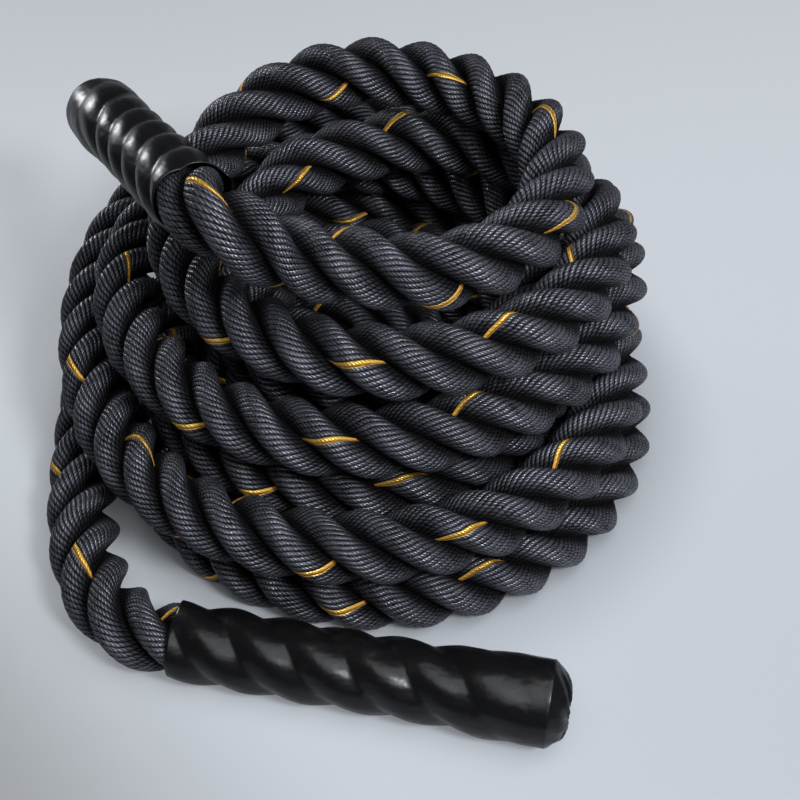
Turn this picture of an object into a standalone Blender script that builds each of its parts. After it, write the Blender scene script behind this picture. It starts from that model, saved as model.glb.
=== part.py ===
"""A battle rope for training, 50 mm thick and about 9 m long, lying in a coil.

The rope is wound into four layers with a heat-shrink handle on each end. One handle
lies on the floor in front of the coil and the other lies over its top.
Metres, +Z up. The origin is under the middle of the whole rope, on the floor.
"""

import math

import bmesh
import bpy
import numpy as np
from mathutils import Matrix, Vector

mm = 0.001
degree = math.pi / 180

# The gap that touching pieces keep, and how far a cutter runs past what it cuts.
touch_gap = 0.3 * mm
cut_overrun = 20 * mm

# The rope: three strands in a right-hand lay.
rope_diameter = 50 * mm
lay_length = 112 * mm
strand_count = 3
coil_flat_share = 0.1
coil_side_resolution = 1
lead_side_resolution = 2
strand_side_resolution = 2

# Where the coil's axis stands.
coil_axis_x = 15.9 * mm
coil_axis_y = 26.8 * mm

# The coil. Turns are counted from its left side, clockwise seen from above.
# It winds in on the floor, out, in, out, and in again on top.
points_per_turn = 24
turn_gap = 1.6 * mm
layer_gap = 1.0 * mm
innermost_radius = 81.4 * mm
layer_turns = (2.5945, 2.5195, 1.928, 0.958)
coil_turns = 8.7083
reversal_ease_turns = 0.04
climb_turns = ((2.3445, 2.8445), (4.864, 5.364), (6.792, 7.292), (8.0, 8.25))
shift_turns = ((2.48, 2.68), (4.92, 5.10), (6.80, 6.96), (8.0, 8.25))
layer_centre_shares = ((-0.06, -0.36), (-0.06, -0.06), (-0.30, 0.60), (0.47, 0.40), (0.12, -0.24))
# Two inner turns sag towards the viewer at the back of the coil.
sag_shares = (0.45, 0.50)
sag_turns = (((6.00, 6.22), (6.34, 6.50)), ((7.05, 7.22), (7.42, 7.58)))
top_ring_step_share = 0.5
top_ring_step_turns = 0.75
lead_in_turns = 0.15
top_lift_share = 0.12
top_lift_turns = (8.5, 8.8)

# The straight run of one diameter at each end of the coil.
start_heading_deg = -85.0
end_heading_deg = 177.0
end_slope_deg = 5.0

# The handles: squeezed strands, a tape band, a melted end, and a shrunk sleeve over them.
squeeze_share = 0.948
strand_gap = 0.7 * mm
sleeve_length = 257 * mm
sleeve_wall = 1.0 * mm
sleeve_clearance = 1.5 * mm
valley_depth = 3.0 * mm
sleeve_sides = 18
stations_per_lay = 16
straight_end_length = 7 * mm
tape_length = 41 * mm
tape_thickness = 1.5 * mm
tape_clearance = 0.4 * mm
tape_setback = 14 * mm
round_off_length = 16 * mm
melted_thickness = 8 * mm
melted_rim_radius = 2 * mm
melted_dome_height = 9 * mm
melted_dome_shares = ((0.0, 0.915), (0.45, 0.68), (1.0, 0.46))
fold_length = 11 * mm
fold_width = 15 * mm
fold_shares = ((0.0, 0.0), (0.12, 0.06), (0.75, 0.55), (1.0, 0.85), (0.97, 1.0))

# The front handle lies on the floor beside the coil's front.
front_heading_deg = -11.6
front_handle_gap = 6 * mm
front_mouth_along = -77 * mm
front_hinge_setback = 50 * mm
front_bend_shares = (0.50, 0.29)

# The top handle lies over the top ring, sloping down to the back left.
top_heading_deg = 115.65
top_slope_deg = -17.6
top_mouth_x = -107 * mm
top_mouth_y = -78 * mm
top_hinge_setback = 30 * mm
top_bend_shares = (0.42, 0.34)

lead_points = 8
lead_straight_length = 10 * mm

# What follows from those sizes.
rope_radius = rope_diameter / 2
turn_pitch = rope_diameter + turn_gap
layer_rise = rope_diameter + layer_gap
floor_height = rope_radius - coil_flat_share * rope_diameter
squeezed_radius = squeeze_share * rope_radius
lobe_radius = squeezed_radius + sleeve_clearance + sleeve_wall
tape_inner_radius = squeezed_radius + tape_clearance
tape_outer_radius = tape_inner_radius + tape_thickness
end_radius = tape_outer_radius + sleeve_clearance + sleeve_wall
tape_end = sleeve_length - tape_setback
tape_start = tape_end - tape_length
melted_end = tape_end
strand_end = melted_end - melted_thickness - touch_gap
round_end = tape_start - sleeve_clearance
round_start = round_end - round_off_length


def strand_distance(circle_radius):
    """The least distance between the centres of two neighbouring strands, which lean as they wind."""
    climb = lay_length / (2 * math.pi)
    steps = [-math.pi / strand_count * index / 200 for index in range(201)]
    apart = 2 * math.pi / strand_count
    return min(math.hypot(2 * circle_radius * math.sin((apart + step) / 2), climb * step) for step in steps)


def fitted_strand_radius():
    """The radius that leaves the strand gap between strands that fill the squeezed rope."""
    radius = squeezed_radius / 2
    for _ in range(60):
        radius = (radius + (strand_distance(squeezed_radius - radius) - strand_gap) / 2) / 2
    return radius


strand_radius = fitted_strand_radius()
strand_circle_radius = squeezed_radius - strand_radius


def smooth(value):
    value = min(1.0, max(0.0, value))
    return value * value * (3 - 2 * value)


def between(value, window):
    return smooth((value - window[0]) / (window[1] - window[0]))


def heading(azimuth, slope=0.0):
    """The unit vector of a level angle and a rise above level, both in degrees."""
    level = math.cos(slope * degree)
    return Vector(
        (
            level * math.cos(azimuth * degree),
            level * math.sin(azimuth * degree),
            math.sin(slope * degree),
        )
    )


def coil_point(turn):
    """The rope's centre at a number of turns from the coil's left side, about its axis."""
    reversals = np.cumsum(layer_turns)
    radius = innermost_radius + turn_pitch * (layer_turns[0] - turn)
    way = 1
    for reversal in reversals:
        radius += way * turn_pitch * (turn - reversal + math.hypot(turn - reversal, reversal_ease_turns))
        way = -way
    ring_start = float(reversals[-1])
    radius -= top_ring_step_share * rope_diameter * smooth((turn - ring_start) / top_ring_step_turns)
    x, y = layer_centre_shares[0]
    for window, before, after in zip(shift_turns, layer_centre_shares, layer_centre_shares[1:]):
        moved = between(turn, window)
        x += moved * (after[0] - before[0])
        y += moved * (after[1] - before[1])
    for share, (onset, release) in zip(sag_shares, sag_turns):
        y -= share * (between(turn, onset) - between(turn, release))
    height = floor_height + layer_rise * sum(between(turn, window) for window in climb_turns)
    height += coil_flat_share * rope_diameter * (1 - smooth(turn / lead_in_turns))
    height += top_lift_share * rope_diameter * between(turn, top_lift_turns)
    angle = math.pi - 2 * math.pi * turn
    return Vector(
        (
            x * rope_diameter + radius * math.cos(angle),
            y * rope_diameter + radius * math.sin(angle),
            height,
        )
    )


def coil_route():
    """The coil's points with a straight run of one diameter at each end."""
    last = round(coil_turns * points_per_turn)
    points = [coil_point(index / points_per_turn) for index in range(last + 1)]
    start = points[0] + rope_diameter * heading(start_heading_deg)
    end = points[-1] + rope_diameter * heading(end_heading_deg, end_slope_deg)
    return [start, *points, end]


def filled(points, count):
    """The points of a polyline with more of them along each run."""
    return np.array([a.lerp(b, step / count) for a, b in zip(points, points[1:]) for step in range(count)])


def least_gap(points):
    """The least free space between one part of a tube and a part over two diameters along it."""
    dense = filled(points, 12)
    along = np.concatenate([[0], np.cumsum(np.linalg.norm(np.diff(dense, axis=0), axis=1))])
    least = math.inf
    for index, point in enumerate(dense):
        far = dense[along > along[index] + 2.2 * rope_diameter]
        if len(far):
            least = min(least, float(np.linalg.norm(far - point, axis=1).min()))
    return least - rope_diameter


def curve_between(start, start_way, end, end_way, shares, count):
    """Points of a smooth bend from one place and way to another, with a short straight run at each end."""
    bend_start = start + lead_straight_length * start_way
    bend_end = end - lead_straight_length * end_way
    reach = (bend_end - bend_start).length
    first = bend_start + shares[0] * reach * start_way
    second = bend_end - shares[1] * reach * end_way
    points = [start]
    for index in range(count):
        part = index / (count - 1)
        left = 1 - part
        points.append(
            left**3 * bend_start
            + 3 * left**2 * part * first
            + 3 * left * part**2 * second
            + part**3 * bend_end
        )
    return [*points, end]


def front_handle_place(route):
    """Mouth and way of the front handle: beside the coil's front, at its gap from the rope there."""
    across = Vector((math.sin(front_heading_deg * degree), -math.cos(front_heading_deg * degree), 0))
    along = heading(front_heading_deg)
    reach = max(point.dot(across) for point in route)
    offset = reach + rope_radius + end_radius + front_handle_gap
    mouth = front_mouth_along * along + offset * across
    mouth.z = lobe_radius
    tilt = math.asin((end_radius - lobe_radius) / round_end)
    return mouth, heading(front_heading_deg, tilt / degree)


def top_handle_place(route):
    """Mouth and way of the top handle: as low as the turns under it let it lie."""
    way = heading(top_heading_deg, top_slope_deg)
    up = way.cross(heading(top_heading_deg - 90)).normalized()
    up = up if up.z > 0 else -up
    side = way.cross(up)
    corner = Vector((top_mouth_x, top_mouth_y, 0))
    clear = rope_radius + end_radius + touch_gap
    lift = 0.0
    for place in filled(route[:-1], 6):
        out = Vector(place) - corner
        aside = out.dot(side)
        if abs(aside) < clear and 0 < out.dot(way) < sleeve_length:
            lift = max(lift, out.dot(up) + math.sqrt(clear**2 - aside**2))
    # The mouth moves straight up, so its place in plan stays as named.
    return corner + Vector((0, 0, lift / up.z)), way


def clear_scene():
    for thing in list(bpy.data.objects):
        bpy.data.objects.remove(thing)


def material(name, colour, roughness, metallic=0.0):
    made = bpy.data.materials.new(name)
    made.use_nodes = True
    shader = made.node_tree.nodes["Principled BSDF"]
    shader.inputs["Base Color"].default_value = (*colour, 1)
    shader.inputs["Roughness"].default_value = roughness
    shader.inputs["Metallic"].default_value = metallic
    return made


def collection(name, hidden=False):
    made = bpy.data.collections.new(name)
    made.hide_render = hidden
    bpy.context.scene.collection.children.link(made)
    return made


def tube(name, points, radius, resolution, holder, look):
    """A POLY curve with a round bevel and filled caps."""
    data = bpy.data.curves.new(name, "CURVE")
    data.dimensions = "3D"
    data.twist_mode = "Z_UP"
    spline = data.splines.new("POLY")
    spline.points.add(len(points) - 1)
    for spot, point in zip(spline.points, points):
        spot.co = (*point, 1)
    data.bevel_depth = radius
    data.bevel_resolution = resolution
    data.use_fill_caps = True
    data.materials.append(look)
    made = bpy.data.objects.new(name, data)
    holder.objects.link(made)
    return made


def as_mesh(made, holder):
    """The curve as a mesh of its own, with its caps welded on."""
    bpy.context.view_layer.update()
    graph = bpy.context.evaluated_depsgraph_get()
    mesh = bpy.data.meshes.new_from_object(made.evaluated_get(graph))
    body = bmesh.new()
    body.from_mesh(mesh)
    bmesh.ops.remove_doubles(body, verts=body.verts, dist=touch_gap / 10)
    bmesh.ops.recalc_face_normals(body, faces=body.faces)
    body.to_mesh(mesh)
    body.free()
    name = made.name
    matrix = made.matrix_world.copy()
    bpy.data.objects.remove(made)
    solid = bpy.data.objects.new(name, mesh)
    solid.matrix_world = matrix
    holder.objects.link(solid)
    return solid


def box_cutter(name, low, high, holder):
    bpy.ops.mesh.primitive_cube_add(size=1)
    made = bpy.context.object
    made.name = name
    for owner in list(made.users_collection):
        owner.objects.unlink(made)
    holder.objects.link(made)
    made.data.transform(Matrix.Diagonal((*(high - low), 1)))
    made.location = (low + high) / 2
    made.hide_render = True
    made.display_type = "WIRE"
    return made


def twist_angle(along):
    """How far the strands have turned at a distance from the handle's mouth."""
    turning = min(strand_end - straight_end_length, max(straight_end_length, along))
    return 2 * math.pi * (turning - straight_end_length) / lay_length


def handle_stations():
    """Distances from the mouth: a straight run at each end and even steps between."""
    inner = strand_end - 2 * straight_end_length
    steps = math.ceil(inner / lay_length * stations_per_lay)
    middle = [straight_end_length + inner * index / steps for index in range(steps + 1)]
    return [0.0, *middle, strand_end]


def strand_points(number):
    start = 2 * math.pi * number / strand_count
    points = []
    for along in handle_stations():
        angle = start + twist_angle(along)
        across = strand_circle_radius * Vector((math.cos(angle), math.sin(angle), 0))
        points.append(across + Vector((0, 0, along)))
    return points


def sleeve_ring(along, radius, valley):
    """Points round the sleeve, with a lobe over each strand."""
    ring = []
    for index in range(sleeve_sides):
        around = 2 * math.pi * index / sleeve_sides
        fall = valley * (1 - math.cos(strand_count * around)) / 2
        angle = around + twist_angle(min(along, round_end))
        ring.append(((radius - fall) * math.cos(angle), (radius - fall) * math.sin(angle), along))
    return ring


def sleeve(name, holder, look):
    """A twisted loft from a three-lobed mouth to a round end, folded in over the rope's end."""
    fold_start = sleeve_length - fold_length
    stations = [along for along in handle_stations() if along < round_end]
    stations += [round_end]
    rings = []
    for along in stations:
        rounded = smooth((along - round_start) / round_off_length)
        radius = lobe_radius + rounded * (end_radius - lobe_radius)
        rings.append(sleeve_ring(along, radius, valley_depth * (1 - rounded)))
    for down, across in fold_shares:
        rings.append(sleeve_ring(fold_start + down * fold_length, end_radius - across * fold_width, 0.0))
    body = bmesh.new()
    loops = [[body.verts.new(point) for point in ring] for ring in rings]
    for lower, upper in zip(loops, loops[1:]):
        for index in range(sleeve_sides):
            after = (index + 1) % sleeve_sides
            body.faces.new((lower[index], lower[after], upper[after], upper[index]))
    mesh = bpy.data.meshes.new(name)
    body.to_mesh(mesh)
    body.free()
    mesh.materials.append(look)
    mesh.shade_smooth()
    made = bpy.data.objects.new(name, mesh)
    holder.objects.link(made)
    shell = made.modifiers.new("wall", "SOLIDIFY")
    shell.thickness = sleeve_wall
    shell.offset = -1
    shell.use_even_offset = True
    return made


def turned(name, profile, steps, holder, look):
    """A closed outline, given as radius and height, turned about Z."""
    mesh = bpy.data.meshes.new(name)
    count = len(profile)
    edges = [(index, (index + 1) % count) for index in range(count)]
    mesh.from_pydata([(radius, 0, height) for radius, height in profile], edges, [])
    mesh.materials.append(look)
    made = bpy.data.objects.new(name, mesh)
    holder.objects.link(made)
    screw = made.modifiers.new("turn", "SCREW")
    screw.steps = steps
    screw.render_steps = steps
    screw.use_merge_vertices = True
    screw.merge_threshold = touch_gap / 10
    return made


def tape_band(name, holder, look):
    profile = [
        (tape_outer_radius, tape_end),
        (tape_outer_radius, tape_start),
        (tape_inner_radius, tape_start),
        (tape_inner_radius, tape_end),
    ]
    return turned(name, profile, 2 * sleeve_sides, holder, look)


def melted_plug(name, holder, look):
    """The fused rope end: a disc that closes the strands, with a dome on it inside the sleeve's fold."""
    rings = [(squeezed_radius, melted_end - melted_thickness), (squeezed_radius, melted_end - melted_rim_radius)]
    for up, across in melted_dome_shares:
        rings.append((across * squeezed_radius, melted_end + up * melted_dome_height))
    sides = 2 * sleeve_sides
    body = bmesh.new()
    loops = []
    for radius, height in rings:
        turns = [2 * math.pi * index / sides for index in range(sides)]
        loops.append([body.verts.new((radius * math.cos(turn), radius * math.sin(turn), height)) for turn in turns])
    for lower, upper in zip(loops, loops[1:]):
        for index in range(sides):
            after = (index + 1) % sides
            body.faces.new((lower[index], lower[after], upper[after], upper[index]))
    body.faces.new(loops[0][::-1])
    body.faces.new(loops[-1])
    mesh = bpy.data.meshes.new(name)
    body.to_mesh(mesh)
    body.free()
    mesh.materials.append(look)
    made = bpy.data.objects.new(name, mesh)
    holder.objects.link(made)
    return made


def handle(name, mouth, way, setback, holder, looks):
    """One handle, built along its own +Z and held by an empty on its joint's axis."""
    side = heading(math.atan2(way.y, way.x) / degree - 90)
    turn = Matrix((side, way.cross(side), way)).transposed().to_4x4()
    hinge = bpy.data.objects.new(name + "_joint", None)
    hinge.empty_display_size = rope_radius
    hinge.matrix_world = Matrix.Translation(mouth - setback * way) @ turn
    holder.objects.link(hinge)
    pieces = [sleeve(name + "_sleeve", holder, looks["sleeve"])]
    pieces.append(tape_band(name + "_tape", holder, looks["tape"]))
    pieces.append(melted_plug(name + "_melted_end", holder, looks["melted"]))
    for number in range(strand_count):
        points = strand_points(number)
        label = f"{name}_strand_{number + 1}"
        pieces.append(tube(label, points, strand_radius, strand_side_resolution, holder, looks["rope"]))
    for piece in pieces:
        piece.parent = hinge
        piece.location = (0, 0, setback)
    return hinge


def main():
    clear_scene()
    parts = collection("battle_rope")
    cutters = collection("cutters", hidden=True)
    looks = {
        "rope": material("rope_yarn", (0.018, 0.019, 0.022), 0.75),
        "sleeve": material("shrink_sleeve", (0.012, 0.012, 0.013), 0.35),
        "tape": material("tape", (0.02, 0.02, 0.02), 0.6),
        "melted": material("melted_yarn", (0.03, 0.03, 0.03), 0.5),
    }
    axis = Vector((coil_axis_x, coil_axis_y, 0))
    route = coil_route()
    print(f"Least gap of the coil to itself: {least_gap(route) / mm:.2f} mm")

    front_mouth, front_way = front_handle_place(route)
    top_mouth, top_way = top_handle_place(route)
    start_way = heading(start_heading_deg)
    end_way = heading(end_heading_deg, end_slope_deg)
    front_lead = curve_between(
        route[0] + touch_gap * start_way,
        start_way,
        front_mouth - touch_gap * front_way,
        front_way,
        front_bend_shares,
        lead_points,
    )
    top_lead = curve_between(
        route[-1] + touch_gap * end_way,
        end_way,
        top_mouth - touch_gap * top_way,
        top_way,
        top_bend_shares,
        lead_points,
    )

    coil = tube("rope_coil", [axis + point for point in route], rope_radius, coil_side_resolution, parts, looks["rope"])
    coil = as_mesh(coil, parts)
    reach = max(max(abs(point.x), abs(point.y)) for point in route) + rope_diameter + cut_overrun
    low = axis + Vector((-reach, -reach, -rope_diameter - cut_overrun))
    high = axis + Vector((reach, reach, 0))
    floor_cut = coil.modifiers.new("floor", "BOOLEAN")
    floor_cut.operation = "DIFFERENCE"
    floor_cut.object = box_cutter("floor_cutter", low, high, cutters)

    tube("front_lead", [axis + point for point in front_lead], rope_radius, lead_side_resolution, parts, looks["rope"])
    tube("top_lead", [axis + point for point in top_lead], rope_radius, lead_side_resolution, parts, looks["rope"])
    handle("front", axis + front_mouth, front_way, front_hinge_setback, parts, looks)
    handle("top", axis + top_mouth, top_way, top_hinge_setback, parts, looks)

    length = sum((b - a).length for a, b in zip(route, route[1:]))
    length += sum((b - a).length for bend in (front_lead, top_lead) for a, b in zip(bend, bend[1:]))
    print(f"Rope along its centre, handles included: {length + 2 * sleeve_length:.2f} m")
    for name, mouth, way, setback in (
        ("front", front_mouth, front_way, front_hinge_setback),
        ("top", top_mouth, top_way, top_hinge_setback),
    ):
        spot = axis + mouth - setback * way
        print(name, "hinge at", [round(value, 5) for value in spot], "way", [round(value, 5) for value in way])
    rest = axis + coil_point(0.5)
    print("Rests on the floor at", [round(value, 5) for value in (rest.x, rest.y)])


main()
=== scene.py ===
"""Looks of a coiled battle rope: laid strands with gold tracer yarns, and a shrunk sleeve on each end."""

import math

import bpy
import numpy as np
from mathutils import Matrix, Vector, noise


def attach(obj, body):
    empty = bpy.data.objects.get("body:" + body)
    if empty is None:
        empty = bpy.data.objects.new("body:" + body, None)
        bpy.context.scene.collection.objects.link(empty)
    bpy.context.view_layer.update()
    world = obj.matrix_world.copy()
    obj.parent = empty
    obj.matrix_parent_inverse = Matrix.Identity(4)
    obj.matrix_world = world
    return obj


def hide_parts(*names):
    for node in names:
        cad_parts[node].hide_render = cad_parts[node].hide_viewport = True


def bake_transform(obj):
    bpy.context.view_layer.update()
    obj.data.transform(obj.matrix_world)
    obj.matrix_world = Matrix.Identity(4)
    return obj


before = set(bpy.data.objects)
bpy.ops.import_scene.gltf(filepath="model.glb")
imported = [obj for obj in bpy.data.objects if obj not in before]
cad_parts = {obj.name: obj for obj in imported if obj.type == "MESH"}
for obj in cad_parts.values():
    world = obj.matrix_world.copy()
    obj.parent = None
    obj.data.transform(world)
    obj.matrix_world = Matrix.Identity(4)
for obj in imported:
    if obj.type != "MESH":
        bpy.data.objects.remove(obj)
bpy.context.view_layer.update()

mm = 0.001
degree = math.pi / 180


def add_object(name, data):
    """An object of its own for a mesh, a lamp or a camera."""
    made = bpy.data.objects.new(name, data)
    bpy.context.scene.collection.objects.link(made)
    return made


# The camera, at the photograph's height and angle.

def place_camera():
    """A lens whose view matches the photograph's."""
    data = bpy.data.cameras.new("Camera")
    data.lens = 58.95
    data.sensor_width = 36
    data.clip_start = 0.01
    data.clip_end = 20
    camera = add_object("Camera", data)
    camera.location = (34.3 * mm, -698.2 * mm, 742.1 * mm)
    camera.rotation_euler = (44.7 * degree, 0, 0)
    bpy.context.scene.camera = camera


place_camera()


# The rope's route: the same sizes and points as the solids have, as one smooth line.

rope_diameter = 50 * mm
rope_radius = rope_diameter / 2
lay_length = 112 * mm
coil_axis = Vector((15.9 * mm, 26.8 * mm, 0))
turn_pitch = 51.6 * mm
layer_rise = 51 * mm
floor_height = 20 * mm
innermost_radius = 81.4 * mm
layer_turns = (2.5945, 2.5195, 1.928, 0.958)
coil_turns = 8.7083
climb_turns = ((2.3445, 2.8445), (4.864, 5.364), (6.792, 7.292), (8.0, 8.25))
shift_turns = ((2.48, 2.68), (4.92, 5.10), (6.80, 6.96), (8.0, 8.25))
layer_centres = ((-0.06, -0.36), (-0.06, -0.06), (-0.30, 0.60), (0.47, 0.40), (0.12, -0.24))
sags = ((0.45, (6.00, 6.22), (6.34, 6.50)), (0.50, (7.05, 7.22), (7.42, 7.58)))
reversal_ease_turns = 0.04
top_ring_step = 0.5 * rope_diameter
top_ring_step_turns = 0.75
floor_flattening = 0.1 * rope_diameter
lead_in_turns = 0.15
top_lift = 0.12 * rope_diameter
top_lift_turns = (8.5, 8.8)
points_per_turn = 120

# The two rope ends: a bend between the coil and each handle, and the strands inside it.
straight_run = 10 * mm
bend_steps = 30
front_bend_shares = (0.50, 0.29)
top_bend_shares = (0.42, 0.34)
front_hinge_setback = 50 * mm
top_hinge_setback = 30 * mm
sleeve_length = 257 * mm
strand_end = 234.7 * mm
spare_length = 60 * mm

# How fine the line is, and how much its corners are rounded.
line_step = 1.5 * mm
line_smoothing = 10 * mm
bell_widths = 4


def smooth(value):
    """0 below 0, 1 above 1, and an eased rise between them."""
    value = min(1.0, max(0.0, value))
    return value * value * (3 - 2 * value)


def between(value, window):
    """How far a value has come through a window, eased."""
    return smooth((value - window[0]) / (window[1] - window[0]))


def heading(azimuth, slope=0.0):
    """The unit vector of a level angle and a rise above level, both in degrees."""
    level = math.cos(slope * degree)
    x, y = level * math.cos(azimuth * degree), level * math.sin(azimuth * degree)
    return Vector((x, y, math.sin(slope * degree)))


def coil_point(turn):
    """The rope's centre at a number of turns, clockwise from the coil's left side."""
    radius = innermost_radius + turn_pitch * (layer_turns[0] - turn)
    way = 1
    for reversal in np.cumsum(layer_turns):
        radius += way * turn_pitch * (turn - reversal + math.hypot(turn - reversal, reversal_ease_turns))
        way = -way
    radius -= top_ring_step * smooth((turn - sum(layer_turns)) / top_ring_step_turns)
    x, y = layer_centres[0]
    for window, before, after in zip(shift_turns, layer_centres, layer_centres[1:]):
        moved = between(turn, window)
        x += moved * (after[0] - before[0])
        y += moved * (after[1] - before[1])
    for share, onset, release in sags:
        y -= share * (between(turn, onset) - between(turn, release))
    height = floor_height + layer_rise * sum(between(turn, window) for window in climb_turns)
    height += floor_flattening * (1 - smooth(turn / lead_in_turns))
    height += top_lift * between(turn, top_lift_turns)
    angle = math.pi - 2 * math.pi * turn
    x = x * rope_diameter + radius * math.cos(angle)
    y = y * rope_diameter + radius * math.sin(angle)
    return coil_axis + Vector((x, y, height))


def bend(start, start_way, end, end_way, shares):
    """A smooth bend from one place and way to another, with a short straight run at each end."""
    first = start + straight_run * start_way
    last = end - straight_run * end_way
    reach = (last - first).length
    one = first + shares[0] * reach * start_way
    two = last - shares[1] * reach * end_way
    points = [start]
    for step in range(bend_steps + 1):
        part = step / bend_steps
        left = 1 - part
        points.append(
            left**3 * first + 3 * left**2 * part * one + 3 * left * part**2 * two + part**3 * last
        )
    return [*points, end]


front_hinge = Vector((-160.17, -199.38, 25.73)) * mm
front_way = Vector((0.97953, -0.20107, 0.00948)).normalized()
front_mouth = front_hinge + front_hinge_setback * front_way
top_hinge = Vector((-78.72, -76.98, 269.34)) * mm
top_way = Vector((-0.41261, 0.85926, -0.30237)).normalized()
top_mouth = top_hinge + top_hinge_setback * top_way
start_way = heading(-85.0)
end_way = heading(177.0, 5.0)
coil_start = coil_point(0) + rope_diameter * start_way
coil_end = coil_point(coil_turns) + rope_diameter * end_way


def rope_route():
    """Points of the rope's centre from the front handle's end, through the coil, to the top one's."""
    front = bend(coil_start, start_way, front_mouth, front_way, front_bend_shares)
    top = bend(coil_end, end_way, top_mouth, top_way, top_bend_shares)
    steps = round(coil_turns * points_per_turn)
    coil = [coil_point(coil_turns * index / steps) for index in range(steps + 1)]
    return [
        front_mouth + (strand_end + spare_length) * front_way,
        *reversed(front),
        *coil,
        *top,
        top_mouth + (strand_end + spare_length) * top_way,
    ]


def evenly(points, step):
    """The points of a line at even steps along it."""
    points = np.array(points, float)
    along = np.concatenate([[0], np.cumsum(np.linalg.norm(np.diff(points, axis=0), axis=1))])
    count = round(along[-1] / step)
    places = np.linspace(0, along[-1], count + 1)
    return np.stack([np.interp(places, along, points[:, axis]) for axis in range(3)], axis=1)


def softened(points, width):
    """The line with its corners rounded by a moving average of a bell shape."""
    reach = round(bell_widths * width / line_step)
    bell = np.exp(-0.5 * (np.arange(-reach, reach + 1) * line_step / width) ** 2)
    bell /= bell.sum()
    return np.stack([np.convolve(points[:, axis], bell, mode="valid") for axis in range(3)], axis=1)


class Line:
    """The rope's centre line with a level and an upright direction across it."""

    def __init__(self, points):
        self.points = points
        way = np.gradient(points, axis=0)
        way /= np.linalg.norm(way, axis=1)[:, None]
        across = np.cross((0, 0, 1), way)
        across /= np.linalg.norm(across, axis=1)[:, None]
        self.across = across
        self.upright = np.cross(way, across)
        self.along = np.concatenate([[0], np.cumsum(np.linalg.norm(np.diff(points, axis=0), axis=1))])

    def nearest(self, place):
        """The distance along the line at which it comes nearest to a place."""
        return float(self.along[np.argmin(np.linalg.norm(self.points - np.array(place), axis=1))])

    def at(self, along, values):
        """Places or ways of the line, between its points, at distances along it."""
        return np.stack([np.interp(along, self.along, values[:, axis]) for axis in range(3)], axis=-1)

    def sides_at(self, along):
        """The level and the upright direction across the line at one distance along it."""
        return self.at(along, self.across), self.at(along, self.upright)


def trimmed(points):
    """The line between the two rope ends inside the handles."""
    front_end = np.array(front_mouth + strand_end * front_way)
    top_end = np.array(top_mouth + strand_end * top_way)
    first = int(np.argmin(np.linalg.norm(points - front_end, axis=1)))
    last = int(np.argmin(np.linalg.norm(points - top_end, axis=1)))
    return points[first:last + 1]


line = Line(trimmed(softened(evenly(rope_route(), line_step), line_smoothing)))
front_mouth_along = line.nearest(front_mouth)
coil_start_along = line.nearest(coil_start)
coil_end_along = line.nearest(coil_end)
top_mouth_along = line.nearest(top_mouth)
rope_length = float(line.along[-1])


# The laid rope: three strands, one closed section that turns along the line.

strand_count = 3
strand_circle_radius = 12.8 * mm
strand_radius = 12.2 * mm
strand_girth = 77 * mm
sides_per_strand = 18
rings_per_lay = 24
squeeze = 0.93
squeeze_run = 30 * mm
squeeze_lead = 22 * mm
arc_samples = 2001
bake_margin = 1 * mm
first_bake_width = 0.2
bake_width_growth = 1.01
front_lay_angle = 20 * degree
top_lay_angle = 20 * degree


def strand_arc():
    """Angles and radii over one strand, from valley to valley at even steps, and the distance round it."""
    fine = np.linspace(-math.pi / 3, math.pi / 3, arc_samples)
    bulge = np.sqrt(strand_radius**2 - (strand_circle_radius * np.sin(fine)) ** 2)
    radii = strand_circle_radius * np.cos(fine) + bulge
    x, y = radii * np.cos(fine), radii * np.sin(fine)
    round_it = np.concatenate([[0], np.cumsum(np.hypot(np.diff(x), np.diff(y)))])
    round_it -= round_it[-1] / 2
    even = np.linspace(round_it[0], round_it[-1], sides_per_strand + 1)
    return np.interp(even, round_it, fine), np.interp(even, round_it, radii), even


arc_angles, arc_radii, arc_places = strand_arc()


def turn_at(along):
    """How far the strands have turned at a distance along the rope."""
    whole = 2 * math.pi * (top_mouth_along - front_mouth_along) / lay_length
    whole += (top_lay_angle - front_lay_angle - whole + math.pi / 3) % (2 * math.pi / 3) - math.pi / 3
    share = (along - front_mouth_along) / (top_mouth_along - front_mouth_along)
    return front_lay_angle + whole * share


def squeeze_at(along):
    """The share of its thickness that the rope keeps where the sleeves squeeze it."""
    left = np.clip((front_mouth_along + squeeze_lead - along) / squeeze_run, 0, 1)
    right = np.clip((along - top_mouth_along + squeeze_lead) / squeeze_run, 0, 1)
    pressed = np.maximum(left, right)
    return 1 - (1 - squeeze) * pressed * pressed * (3 - 2 * pressed)


def rope_rings(along):
    """Corners of the rope's section at each distance, as rings by sides by three."""
    centre = line.at(along, line.points)
    across = line.at(along, line.across)
    upright = line.at(along, line.upright)
    turn = turn_at(along)
    pressed = squeeze_at(along)
    angles, radii = [], []
    for strand in range(strand_count):
        angles.append(arc_angles[:-1] + 2 * math.pi * strand / strand_count)
        radii.append(arc_radii[:-1])
    angles, radii = np.concatenate(angles), np.concatenate(radii)
    theta = turn[:, None] + angles[None, :]
    reach = pressed[:, None] * radii[None, :]
    rings = centre[:, None, :] + (reach * np.cos(theta))[..., None] * across[:, None, :]
    rings += (reach * np.sin(theta))[..., None] * upright[:, None, :]
    rings[..., 2] = np.maximum(rings[..., 2], 0.0)
    return rings


def add_map(mesh, name, corners):
    """A map of the mesh with a place for each face's corners."""
    layer = mesh.uv_layers.new(name=name)
    layer.uv.foreach_set("vector", corners.astype(np.float32).ravel())


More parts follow.
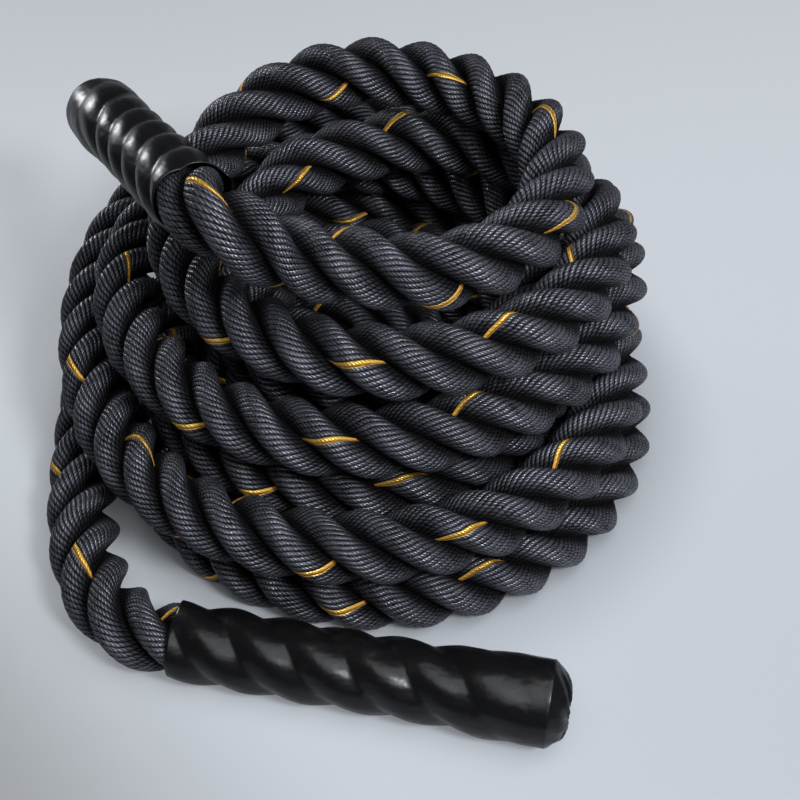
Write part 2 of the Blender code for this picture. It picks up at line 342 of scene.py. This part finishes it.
def laid_rope(name, start, end):
    """A length of the rope between two distances along it, with its end caps."""
    steps = max(2, round((end - start) / (lay_length / rings_per_lay)))
    along = np.linspace(start, end, steps + 1)
    rings = rope_rings(along)
    sides = strand_count * sides_per_strand
    mesh = bpy.data.meshes.new(name)
    ring, side = np.meshgrid(np.arange(steps), np.arange(sides), indexing="ij")
    after = (side + 1) % sides
    near, far = ring * sides, (ring + 1) * sides
    quads = np.stack([near + side, near + after, far + after, far + side], axis=-1)
    faces = quads.reshape(-1, 4).tolist()
    faces.append(list(range(sides))[::-1])
    faces.append([steps * sides + index for index in range(sides)])
    mesh.from_pydata(rings.reshape(-1, 3).tolist(), [], faces)
    mesh.shade_smooth()

    # Where a corner is: strand and place round it, and metres along the rope.
    strand = side // sides_per_strand
    step = side % sides_per_strand
    left = strand + arc_places[step] / strand_girth
    right = strand + arc_places[step + 1] / strand_girth
    low, high = along[ring], along[ring + 1]
    round_it = np.stack([left, right, right, left], axis=-1)
    lay = np.stack([round_it, np.stack([low, low, high, high], axis=-1)], axis=-1)
    caps = np.zeros((2 * sides, 2))
    add_map(mesh, "lay", np.concatenate([lay.reshape(-1, 2), caps]))
    rows = bake_places(ring, strand, step, along)
    add_map(mesh, "OFBake", np.concatenate([rows.reshape(-1, 2), caps]))

    # The valleys between the strands stay sharp, and so do the rims of the two cut ends.
    edges = np.empty(2 * len(mesh.edges), np.int32)
    mesh.edges.foreach_get("vertices", edges)
    edges = edges.reshape(-1, 2)
    sharp = (edges[:, 0] % sides == edges[:, 1] % sides) & (edges[:, 0] % sides_per_strand == 0)
    rim = edges // sides
    sharp |= (rim[:, 0] == rim[:, 1]) & ((rim[:, 0] == 0) | (rim[:, 0] == steps))
    marks = mesh.attributes.get("sharp_edge") or mesh.attributes.new("sharp_edge", "BOOLEAN", "EDGE")
    marks.data.foreach_set("value", sharp)
    return add_object(name, mesh), line.at(along, line.points)


def bake_places(ring, strand, step, along):
    """The rope's surface in rows on the unit square, one strand after another, at one scale."""
    steps = len(along) - 1
    climb = 2 * math.pi * rope_radius / lay_length
    slant = math.hypot(1, climb)
    girth = arc_places[-1] - arc_places[0]
    row_height = girth / slant + 2 * bake_margin
    slip = girth * climb / slant + 2 * bake_margin
    run = slant * (along[-1] - along[0]) / steps
    width = first_bake_width
    while True:
        in_row = max(1, int((width - slip) / run))
        rows = strand_count * math.ceil(steps / in_row)
        if rows * row_height <= width:
            break
        width *= bake_width_growth
    row = strand * math.ceil(steps / in_row) + ring // in_row
    place = ring % in_row
    corners = []
    for further, beyond in ((0, 0), (0, 1), (1, 1), (1, 0)):
        arc = arc_places[step + beyond] - arc_places[0]
        x = (place + further) * run + arc * climb / slant + bake_margin
        y = row * row_height + arc / slant + bake_margin
        corners.append(np.stack([x / width, y / width], axis=-1))
    return np.stack(corners, axis=-2)


wound_rope, wound_path = laid_rope("wound_rope", coil_start_along, coil_end_along)
front_rope, front_path = laid_rope("front_rope_end", 0.0, coil_start_along)
top_rope, top_path = laid_rope("top_rope_end", coil_end_along, rope_length)

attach(wound_rope, "coil")
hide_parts("rope_coil")
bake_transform(front_rope)
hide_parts("front_lead", "front_strand_1", "front_strand_2", "front_strand_3")
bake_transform(top_rope)
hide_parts("top_lead", "top_strand_1", "top_strand_2", "top_strand_3")


# The sleeves, shrunk onto the rope's ends.

sleeve_wall = 1.0 * mm
lobe_radius = 26.2 * mm
end_radius = 28.1 * mm
fold_length = 13 * mm
fold_width = 15 * mm
fold_shares = (
    (0.03, 0.01), (0.08, 0.04), (0.16, 0.09), (0.28, 0.18), (0.42, 0.29), (0.56, 0.40), (0.70, 0.51),
    (0.83, 0.62), (0.93, 0.74), (0.99, 0.86), (1.0, 0.95), (0.94, 1.03), (0.82, 1.08),
)
sleeve_sides = 120
sleeve_rings = 124

# Past the taper the sleeve is round, over the tape; past the last turn its lobes stop turning.
taper_start = 176 * mm
taper_run = 34 * mm
last_turn = 232 * mm

# The mouth's cut edge, the wrinkles, and the pleats and the slot of the folded end.
edge_run = 30 * mm
edge_slant = 1.2 * mm
edge_wave = 0.5 * mm
wrinkle_length = 26 * mm
wrinkle_depth = 0.40 * mm
fine_wrinkle_depth = 0.14 * mm
fold_swirl = 0.9
pleat_count = 9
pleat_depth = 0.8 * mm
pleat_lift = 0.9 * mm
closed_shrink = 1 * mm
slot_depth = 6.5 * mm
fold_shift = 3.5 * mm


def lobe_fall(around, depth, softness):
    """How far the sleeve dips between the strands, at an angle from a strand's crest."""
    place = (around + math.pi / 3) % (2 * math.pi / 3) - math.pi / 3
    rise = np.abs(place) / (math.pi / 3)
    sharp = 1 - np.cos(rise * math.pi / 2)
    soft = (1 - np.cos(rise * math.pi)) / 2
    return depth * ((1 - softness) * sharp + softness * soft)


def sleeve(name, mouth, way, mouth_along, outward, depth, kept, softness, seed, tongue, lean):
    """A thin tube that follows the strands and folds in, pleated, over the rope's end.

    Its lobes have a depth, of which some is kept over the tape. The mouth has a tongue: the angle
    where it is, how far it reaches and how wide it is. The lean is the way that the fold shifts.
    """
    side, up = line.sides_at(mouth_along)
    mouth, way = np.array(mouth), np.array(way)
    around = np.linspace(0, 2 * math.pi, sleeve_sides, endpoint=False)
    tongue_angle, tongue_reach, tongue_width = tongue
    fold_start = sleeve_length - fold_length
    profile = []
    for along in np.linspace(0, fold_start, sleeve_rings):
        rounded = smooth((along - taper_start) / taper_run)
        profile.append((along, lobe_radius + rounded * (end_radius - lobe_radius), rounded, 0.0))
    for down, across in fold_shares:
        profile.append((fold_start + down * fold_length, end_radius - across * fold_width, 1.0, across))
    outer, inner = [], []
    for along, radius, rounded, folded in profile:
        turn = turn_at(mouth_along + outward * min(along, last_turn))
        # The mouth's cut edge isn't quite square.
        edge = 1 - smooth(along / edge_run)
        cut = edge * (edge_slant * np.cos(around - 0.7) + edge_wave * np.sin(3 * around + seed))
        from_tongue = (around - tongue_angle + math.pi) % (2 * math.pi) - math.pi
        cut -= edge * tongue_reach * np.exp(-(from_tongue / tongue_width) ** 2)
        lobes = depth * (1 - rounded) + kept * rounded * (1 - folded)
        reach = radius - lobe_fall(around - turn, lobes, softness)
        closed = smooth((folded - 0.45) / 0.5)
        for index, angle in enumerate(around):
            spot = Vector((3 * math.cos(angle), 3 * math.sin(angle), along / wrinkle_length))
            spot += Vector((seed, 0, 0))
            reach[index] += wrinkle_depth * (noise.noise(spot) - 0.25)
            reach[index] += fine_wrinkle_depth * noise.noise(3.1 * spot)
            if folded:
                swirl = angle + fold_swirl * folded
                pleat = math.sin(pleat_count * swirl + 2.1 * math.sin(2 * swirl + seed))
                pleat += 0.7 * noise.noise(2.2 * spot)
                reach[index] += folded * pleat_depth * pleat
                cut[index] += min(folded, 0.8) * pleat_lift * (pleat - 0.9)
                slot = abs(math.cos(swirl - lean - 0.9))
                reach[index] -= closed * (closed_shrink + slot_depth * slot * slot)
        aside = math.cos(lean) * side + math.sin(lean) * up
        centre = mouth + folded * folded * fold_shift * aside
        for wall, rings in ((0.0, outer), (sleeve_wall, inner)):
            held = reach - wall * (1 - closed)
            lift = along + cut - (wall if folded else 0.0)
            ring = centre + lift[:, None] * way
            ring = ring + (held * np.cos(around))[:, None] * side
            ring = ring + (held * np.sin(around))[:, None] * up
            ring[:, 2] = np.maximum(ring[:, 2], 0.0)
            rings.append(ring)
    rings = np.array(outer + inner[::-1])
    count = len(rings)
    ring, point = np.meshgrid(np.arange(count), np.arange(sleeve_sides), indexing="ij")
    after = (point + 1) % sleeve_sides
    near, far = ring * sleeve_sides, (ring + 1) % count * sleeve_sides
    quads = np.stack([near + point, near + after, far + after, far + point], axis=-1)
    if outward < 0:
        quads = quads[..., ::-1]
    mesh = bpy.data.meshes.new(name)
    mesh.from_pydata(rings.reshape(-1, 3).tolist(), [], quads.reshape(-1, 4).tolist())
    mesh.shade_smooth()
    return add_object(name, mesh)


front_sleeve = sleeve(
    "front_grip_sleeve", front_mouth, front_way, front_mouth_along, outward=-1,
    depth=3.6 * mm, kept=1.3 * mm, softness=0.25, seed=1.0, tongue=(-1.9, 6 * mm, 0.2), lean=-0.15,
)
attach(front_sleeve, "front_handle")
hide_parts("front_sleeve")
top_sleeve = sleeve(
    "top_grip_sleeve", top_mouth, top_way, top_mouth_along, outward=1,
    depth=4.0 * mm, kept=1.2 * mm, softness=0.0, seed=5.0, tongue=(2.6, 12 * mm, 0.35), lean=1.0,
)
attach(top_sleeve, "top_handle")
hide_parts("top_sleeve")


# The melted ends, seen inside the sleeves' rims.

# Radius and distance from the sleeve's mouth, both in millimetres.
melted_profile = (
    (23.4, 235.3), (23.6, 237.5), (23.5, 240.0), (22.9, 241.8), (21.7, 243.4), (19.5, 245.2), (17.0, 247.2),
    (14.5, 249.4), (12.0, 251.2), (9.5, 252.0), (7.0, 252.3), (4.5, 252.4), (2.2, 252.4),
)
melted_sides = 60


def melted_end(name, mouth, way, mouth_along, seed):
    """Three strand ends fused into one lumpy face with a rounded rim."""
    side, up = (Vector(direction) for direction in line.sides_at(mouth_along))
    sides = melted_sides
    points = []
    for radius, along in melted_profile:
        for index in range(sides):
            angle = 2 * math.pi * index / sides
            swirl = angle + radius / 18
            lump = 0.5 + 0.5 * math.cos(3 * swirl + seed)
            spot = Vector((radius * math.cos(swirl) / 5, radius * math.sin(swirl) / 5, seed))
            inside = smooth((23 - radius) / 4)
            dip = 0.4 + 1.5 * (1 - lump) * smooth(radius / 8) + 1.6 * abs(noise.noise(spot))
            out = radius * (math.cos(angle) * side + math.sin(angle) * up)
            points.append(mouth + mm * ((along - inside * dip) * way + out))
    faces = []
    for near in range(0, (len(melted_profile) - 1) * sides, sides):
        far = near + sides
        for index in range(sides):
            after = (index + 1) % sides
            faces.append((near + index, near + after, far + after, far + index))
    last = (len(melted_profile) - 1) * sides
    faces.append([last + index for index in range(sides)])
    faces.append(list(range(sides))[::-1])
    if side.cross(up).dot(way) < 0:
        faces = [face[::-1] for face in faces]
    mesh = bpy.data.meshes.new(name)
    mesh.from_pydata(points, [], faces)
    mesh.shade_smooth()
    made = add_object(name, mesh)
    return made


front_melted = melted_end("front_fused_end", front_mouth, front_way, front_mouth_along, 0.4)
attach(front_melted, "front_handle")
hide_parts("front_melted_end")
top_melted = melted_end("top_fused_end", top_mouth, top_way, top_mouth_along, 2.1)
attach(top_melted, "top_handle")
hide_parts("top_melted_end")


# Finishes.

class Signal:
    """A socket's value, on which Python's operators add Math nodes."""

    def __init__(self, finish, socket):
        self.finish = finish
        self.socket = socket

    def __add__(self, other):
        return self.finish.math("ADD", self, other)

    __radd__ = __add__

    def __sub__(self, other):
        return self.finish.math("SUBTRACT", self, other)

    def __rsub__(self, other):
        return self.finish.math("SUBTRACT", other, self)

    def __mul__(self, other):
        return self.finish.math("MULTIPLY", self, other)

    __rmul__ = __mul__

    def __truediv__(self, other):
        return self.finish.math("DIVIDE", self, other)

    def __pow__(self, other):
        return self.finish.math("POWER", self, other)

    def __abs__(self):
        return self.finish.math("ABSOLUTE", self)

    def whole(self):
        return self.finish.math("ROUND", self)

    def floor(self):
        return self.finish.math("FLOOR", self)

    def at_most(self, other):
        return self.finish.math("MINIMUM", self, other)

    def step(self, low, high):
        """0 below low, 1 above high, and smooth between them."""
        node = self.finish.node(
            "ShaderNodeMapRange",
            {"interpolation_type": "SMOOTHSTEP"},
            {"Value": self, "From Min": low, "From Max": high},
        )
        return Signal(self.finish, node.outputs["Result"])


class Finish:
    """One material: its node tree, with a Principled shader at the end."""

    def __init__(self, name, **constants):
        self.material = bpy.data.materials.new(name)
        self.material.use_nodes = True
        self.tree = self.material.node_tree
        self.tree.nodes.clear()
        output = self.tree.nodes.new("ShaderNodeOutputMaterial")
        self.shader = self.node("ShaderNodeBsdfPrincipled")
        self.tree.links.new(self.shader.outputs["BSDF"], output.inputs["Surface"])
        for name, value in constants.items():
            socket = name.replace("_", " ").title().replace("Ior", "IOR")
            self.shader.inputs[socket].default_value = value

    def node(self, kind, settings=None, inputs=None):
        """Adds a node: its settings first, then the values or links of its sockets."""
        made = self.tree.nodes.new(kind)
        for name, value in (settings or {}).items():
            setattr(made, name, value)
        for name, value in (inputs or {}).items():
            self.feed(made.inputs[name], value)
        return made

    def feed(self, socket, value):
        if isinstance(value, Signal):
            self.tree.links.new(value.socket, socket)
        else:
            socket.default_value = value

    def math(self, operation, *values):
        node = self.node("ShaderNodeMath", {"operation": operation}, dict(enumerate(values)))
        return Signal(self, node.outputs[0])

    def mix(self, factor, first, second):
        """A colour between two colours."""
        node = self.node("ShaderNodeMix", {"data_type": "RGBA"}, {0: factor, 6: first, 7: second})
        return Signal(self, node.outputs[2])

    def place(self, x, y, z=0.0):
        node = self.node("ShaderNodeCombineXYZ", None, {0: x, 1: y, 2: z})
        return Signal(self, node.outputs[0])

    def parts(self, place):
        """The x and the y of a place."""
        node = self.node("ShaderNodeSeparateXYZ", None, {0: place})
        return Signal(self, node.outputs[0]), Signal(self, node.outputs[1])

    def spot(self):
        """The place on the object itself."""
        return Signal(self, self.node("ShaderNodeTexCoord").outputs["Object"])

    def noise(self, place, scale, detail=2.0, roughness=0.5):
        inputs = {"Vector": place, "Scale": scale, "Detail": detail, "Roughness": roughness}
        return Signal(self, self.node("ShaderNodeTexNoise", None, inputs).outputs["Fac"])

    def chance(self, place):
        """A random number of its own for each value of a place."""
        node = self.node("ShaderNodeTexWhiteNoise", {"noise_dimensions": "3D"}, {"Vector": place})
        return Signal(self, node.outputs["Value"])

    def bump(self, height):
        """Relief of a height in millimetres."""
        node = self.node("ShaderNodeBump", None, {"Height": height, "Distance": 1 * mm, "Strength": 1.0})
        return Signal(self, node.outputs["Normal"])

    def shade(self, **links):
        """Feeds the shader and gives the material back."""
        for name, value in links.items():
            self.feed(self.shader.inputs[name.replace("_", " ").title()], value)
        return self.material


yarn_count = 20
yarn_climb = 48 * mm
ply_pitch = 2.2 * mm
ply_slant = -0.8
yarn_drift = 1.3
# Where painted shade falls: the grooves between the yarns and the valleys between the strands.
groove_shade_edge = (-0.05, 0.85)
valley_shade_edge = (0.09, 0.30)
tracer_yarn = 4.0
tracer_edge = (0.46, 0.62)
tracer_strand = 1
# The rope's colours in painted shade and in painted light, in black and in gold.
black_in_painted_shade = (0.0002, 0.0002, 0.0003, 1)
black_in_light = (0.195, 0.198, 0.236, 1)
gold_in_painted_shade = (0.30, 0.09, 0.003, 1)
gold_in_light = (1.0, 0.62, 0.13, 1)


def yarn_finish():
    """Twisted polyester yarns of three plies that run round each strand, one of them gold."""
    finish = Finish("black_yarn", metallic=0.68, specular_ior_level=0.20)
    lay = finish.node("ShaderNodeUVMap", {"uv_map": "lay"})
    around, along = finish.parts(Signal(finish, lay.outputs[0]))
    strand = around.whole()
    girth = around - strand
    drift = finish.noise(finish.place(girth * 2.5, along * 22, strand * 5), 1.0, 1.0) - 0.5
    climb = (girth + along / yarn_climb) * yarn_count + drift * yarn_drift
    phase = climb + strand * 7.3
    yarn = phase.floor()
    across = (phase - yarn) * 2 - 1
    crown = 1 - abs(across) ** 2.2
    each = finish.chance(finish.place(yarn, strand * 3 + 1))
    ply = along / ply_pitch + across * ply_slant + each * 9
    hump = 1 - abs((ply - ply.floor()) * 2 - 1) ** 2
    fibre_place = finish.place(across * 2.2 + yarn * 7, along * 420 + across * 1.4, strand * 5)
    fibre = finish.noise(fibre_place, 1.0, 2.0)
    patch = finish.noise(finish.place(girth * 6, along * 55, strand * 9), 1.0, 3.0)
    height = crown * 0.72 + crown * hump * 0.36 + fibre * 0.20 + each * 0.22 + patch * 0.34
    # Painted shade: the grooves between the yarns and the valleys between the strands are darker in colour;
    # the same masks also raise the roughness there.
    off_groove_shade = (crown + (fibre - 0.5) * 1.1).step(*groove_shade_edge)
    valley = abs(girth).step(*valley_shade_edge)
    unshaded_yarn = off_groove_shade * (1 - valley * 0.92)
    # Painted highlight: the crests of the plies are lighter in colour, mixed with the yarns' own random
    # tone.
    light = unshaded_yarn * (hump * 0.95 + each * 0.30 + patch * 1.50 + fibre * 0.90 - 1.25)
    black = finish.mix(light.at_most(1.0), black_in_painted_shade, black_in_light)
    # The gold yarn also has painted shade in its grooves and painted highlights on its plies.
    gold = finish.mix((off_groove_shade * (0.75 + hump * 0.35)).at_most(1.0), gold_in_painted_shade, gold_in_light)
    tracer_turn = (climb + tracer_yarn) / yarn_count
    tracer_across = (tracer_turn - tracer_turn.whole()) * yarn_count
    other_strand = abs(strand - tracer_strand).step(0.2, 0.6)
    tracer = (1 - abs(tracer_across).step(*tracer_edge)) * (1 - other_strand)
    return finish.shade(
        base_color=finish.mix(tracer, black, gold),
        roughness=0.31 - each * 0.06 + (1 - unshaded_yarn) * 0.60 - fibre * 0.08 + (1 - hump) * 0.20,
        normal=finish.bump(height),
    )


def sleeve_finish():
    """Shrunk plastic sleeve with fine wrinkles and handling marks."""
    finish = Finish("shrunk_sleeve", specular_ior_level=0.42)
    place = finish.spot()
    wrinkle = finish.noise(place, 45.0, 3.0, 0.55)
    grain = finish.noise(place, 900.0, 2.0, 0.6)
    marks = finish.noise(place, 130.0, 4.0, 0.6)
    wear = marks.step(0.55, 0.8)
    return finish.shade(
        base_color=finish.mix(wear * 0.5, (0.0045, 0.0045, 0.005, 1), (0.014, 0.014, 0.015, 1)),
        roughness=0.26 + wear * 0.10 + grain * 0.06,
        normal=finish.bump(wrinkle * 0.9 + marks * 0.06 + grain * 0.006),
    )


def melted_finish():
    """Yarn ends fused to a hard dark crust."""
    finish = Finish("fused_yarn", specular_ior_level=0.5)
    place = finish.spot()
    lumps = finish.noise(place, 260.0, 4.0, 0.6)
    return finish.shade(
        base_color=finish.mix(lumps, (0.008, 0.008, 0.009, 1), (0.05, 0.05, 0.052, 1)),
        roughness=0.35 + lumps * 0.3,
        normal=finish.bump(lumps * 1.2),
    )


def tape_finish():
    """Matt cloth tape."""
    finish = Finish("cloth_tape", specular_ior_level=0.4)
    place = finish.spot()
    weave = finish.noise(place, 1500.0, 1.0)
    return finish.shade(
        base_color=finish.mix(weave, (0.012, 0.012, 0.012, 1), (0.028, 0.028, 0.028, 1)),
        roughness=0.6 + weave * 0.2,
        normal=finish.bump(weave * 0.1),
    )


yarn = yarn_finish()
for rope in (wound_rope, front_rope, top_rope):
    rope.data.materials.append(yarn)
shrunk_plastic = sleeve_finish()
for shrunk in (front_sleeve, top_sleeve):
    shrunk.data.materials.append(shrunk_plastic)
fused = melted_finish()
for end in (front_melted, top_melted):
    end.data.materials.append(fused)
tape = tape_finish()
for node in ("front_tape", "top_tape"):
    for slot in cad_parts[node].material_slots:
        slot.material = tape


# The floor and the light.

backdrop = (0.56, 0.595, 0.645, 1)
floor_half_width = 6.0
floor_drop = 0.2 * mm
floor_glow = 0.45
lamp_colour = (0.955, 0.98, 1.0)
ambient_strength = 0.06


def away(x, y):
    """How far a level place is from the origin."""
    return (x * x + y * y) ** 0.5


def floor_finish():
    """Pale paper with painted shade and light: darker on the right, lighter towards the back, and a little
    darker towards the near left corner.
    """
    finish = Finish("pale_floor", specular_ior_level=0.2, emission_strength=1.0)
    place = finish.spot()
    x, y = finish.parts(place)
    cloud = finish.noise(place, 1.2, 2.0)
    # Painted light and shade: darker on the right with a little random cloud, lighter further back, and
    # darker in the near left corner, standing in for how the light falls.
    rightward_shade = x.step(-0.5, 0.5) * 0.85 + cloud * 0.15
    paper = finish.mix(rightward_shade, (0.52, 0.545, 0.58, 1), (0.325, 0.347, 0.384, 1))
    further = finish.mix(y.step(-0.5, 0.7), paper, (0.56, 0.583, 0.62, 1))
    corner = (x + y).step(-0.56, -0.26)
    lit = finish.mix(corner, (0.26, 0.268, 0.28, 1), further)
    # For the camera only, the floor glows a little away from the coil, and far off it passes
    # into the backdrop.
    dark = (0, 0, 0, 1)
    seen = Signal(finish, finish.node("ShaderNodeLightPath").outputs["Is Camera Ray"])
    beyond = away(x, y).step(0.55, 1.4) * seen
    off_coil = away(x - coil_axis.x, y - coil_axis.y).step(0.19, 0.28)
    glow = finish.mix(off_coil * seen * floor_glow, dark, lit)
    return finish.shade(
        base_color=finish.mix(beyond, lit, dark),
        emission_color=finish.mix(beyond, glow, backdrop),
        roughness=0.6,
    )


def make_floor():
    """A sheet of paper, a little below the rope so that the two don't share a face."""
    mesh = bpy.data.meshes.new("floor")
    half = floor_half_width
    corners = [(-half, -half, 0), (half, -half, 0), (half, half, 0), (-half, half, 0)]
    mesh.from_pydata(corners, [], [(0, 1, 2, 3)])
    mesh.materials.append(floor_finish())
    made = add_object("floor", mesh)
    made.location = (0, 0, -floor_drop)


def area_light(name, place, target, size, power, spread=180):
    """A lamp at a place, aimed at a target; power in watts, spread in degrees."""
    data = bpy.data.lights.new(name, "AREA")
    data.shape = "RECTANGLE"
    data.size, data.size_y = size
    data.energy = power
    data.color = lamp_colour
    data.spread = spread * degree
    lamp = add_object(name, data)
    lamp.location = place
    lamp.rotation_euler = (Vector(target) - Vector(place)).to_track_quat("-Z", "Y").to_euler()


def make_world():
    """Soft light from all round, and a pale backdrop where the camera looks past the floor."""
    world = bpy.data.worlds.new("studio")
    world.use_nodes = True
    tree = world.node_tree
    tree.nodes.clear()
    output = tree.nodes.new("ShaderNodeOutputWorld")
    mixed = tree.nodes.new("ShaderNodeMixShader")
    path = tree.nodes.new("ShaderNodeLightPath")
    ambient = (0.93, 0.96, 1.0, 1)
    for number, colour, strength in ((1, ambient, ambient_strength), (2, backdrop, 1.0)):
        sky = tree.nodes.new("ShaderNodeBackground")
        sky.inputs["Color"].default_value = colour
        sky.inputs["Strength"].default_value = strength
        tree.links.new(sky.outputs[0], mixed.inputs[number])
    tree.links.new(path.outputs["Is Camera Ray"], mixed.inputs[0])
    tree.links.new(mixed.outputs[0], output.inputs["Surface"])
    bpy.context.scene.world = world


make_floor()
area_light("overhead_sheet", (0.50, -0.45, 1.6), (0.32, 0.05, 0), (2.2, 1.4), 18)
area_light("front_softbox", (0.72, -1.00, 1.32), (0.05, -0.1, 0.1), (0.36, 0.28), 17)
area_light("back_left_softbox", (-1.25, 1.3, 0.50), (-0.17, 0.10, 0.22), (0.18, 0.80), 0.45, 40)
make_world()

bpy.context.scene.view_settings.view_transform = "Standard"
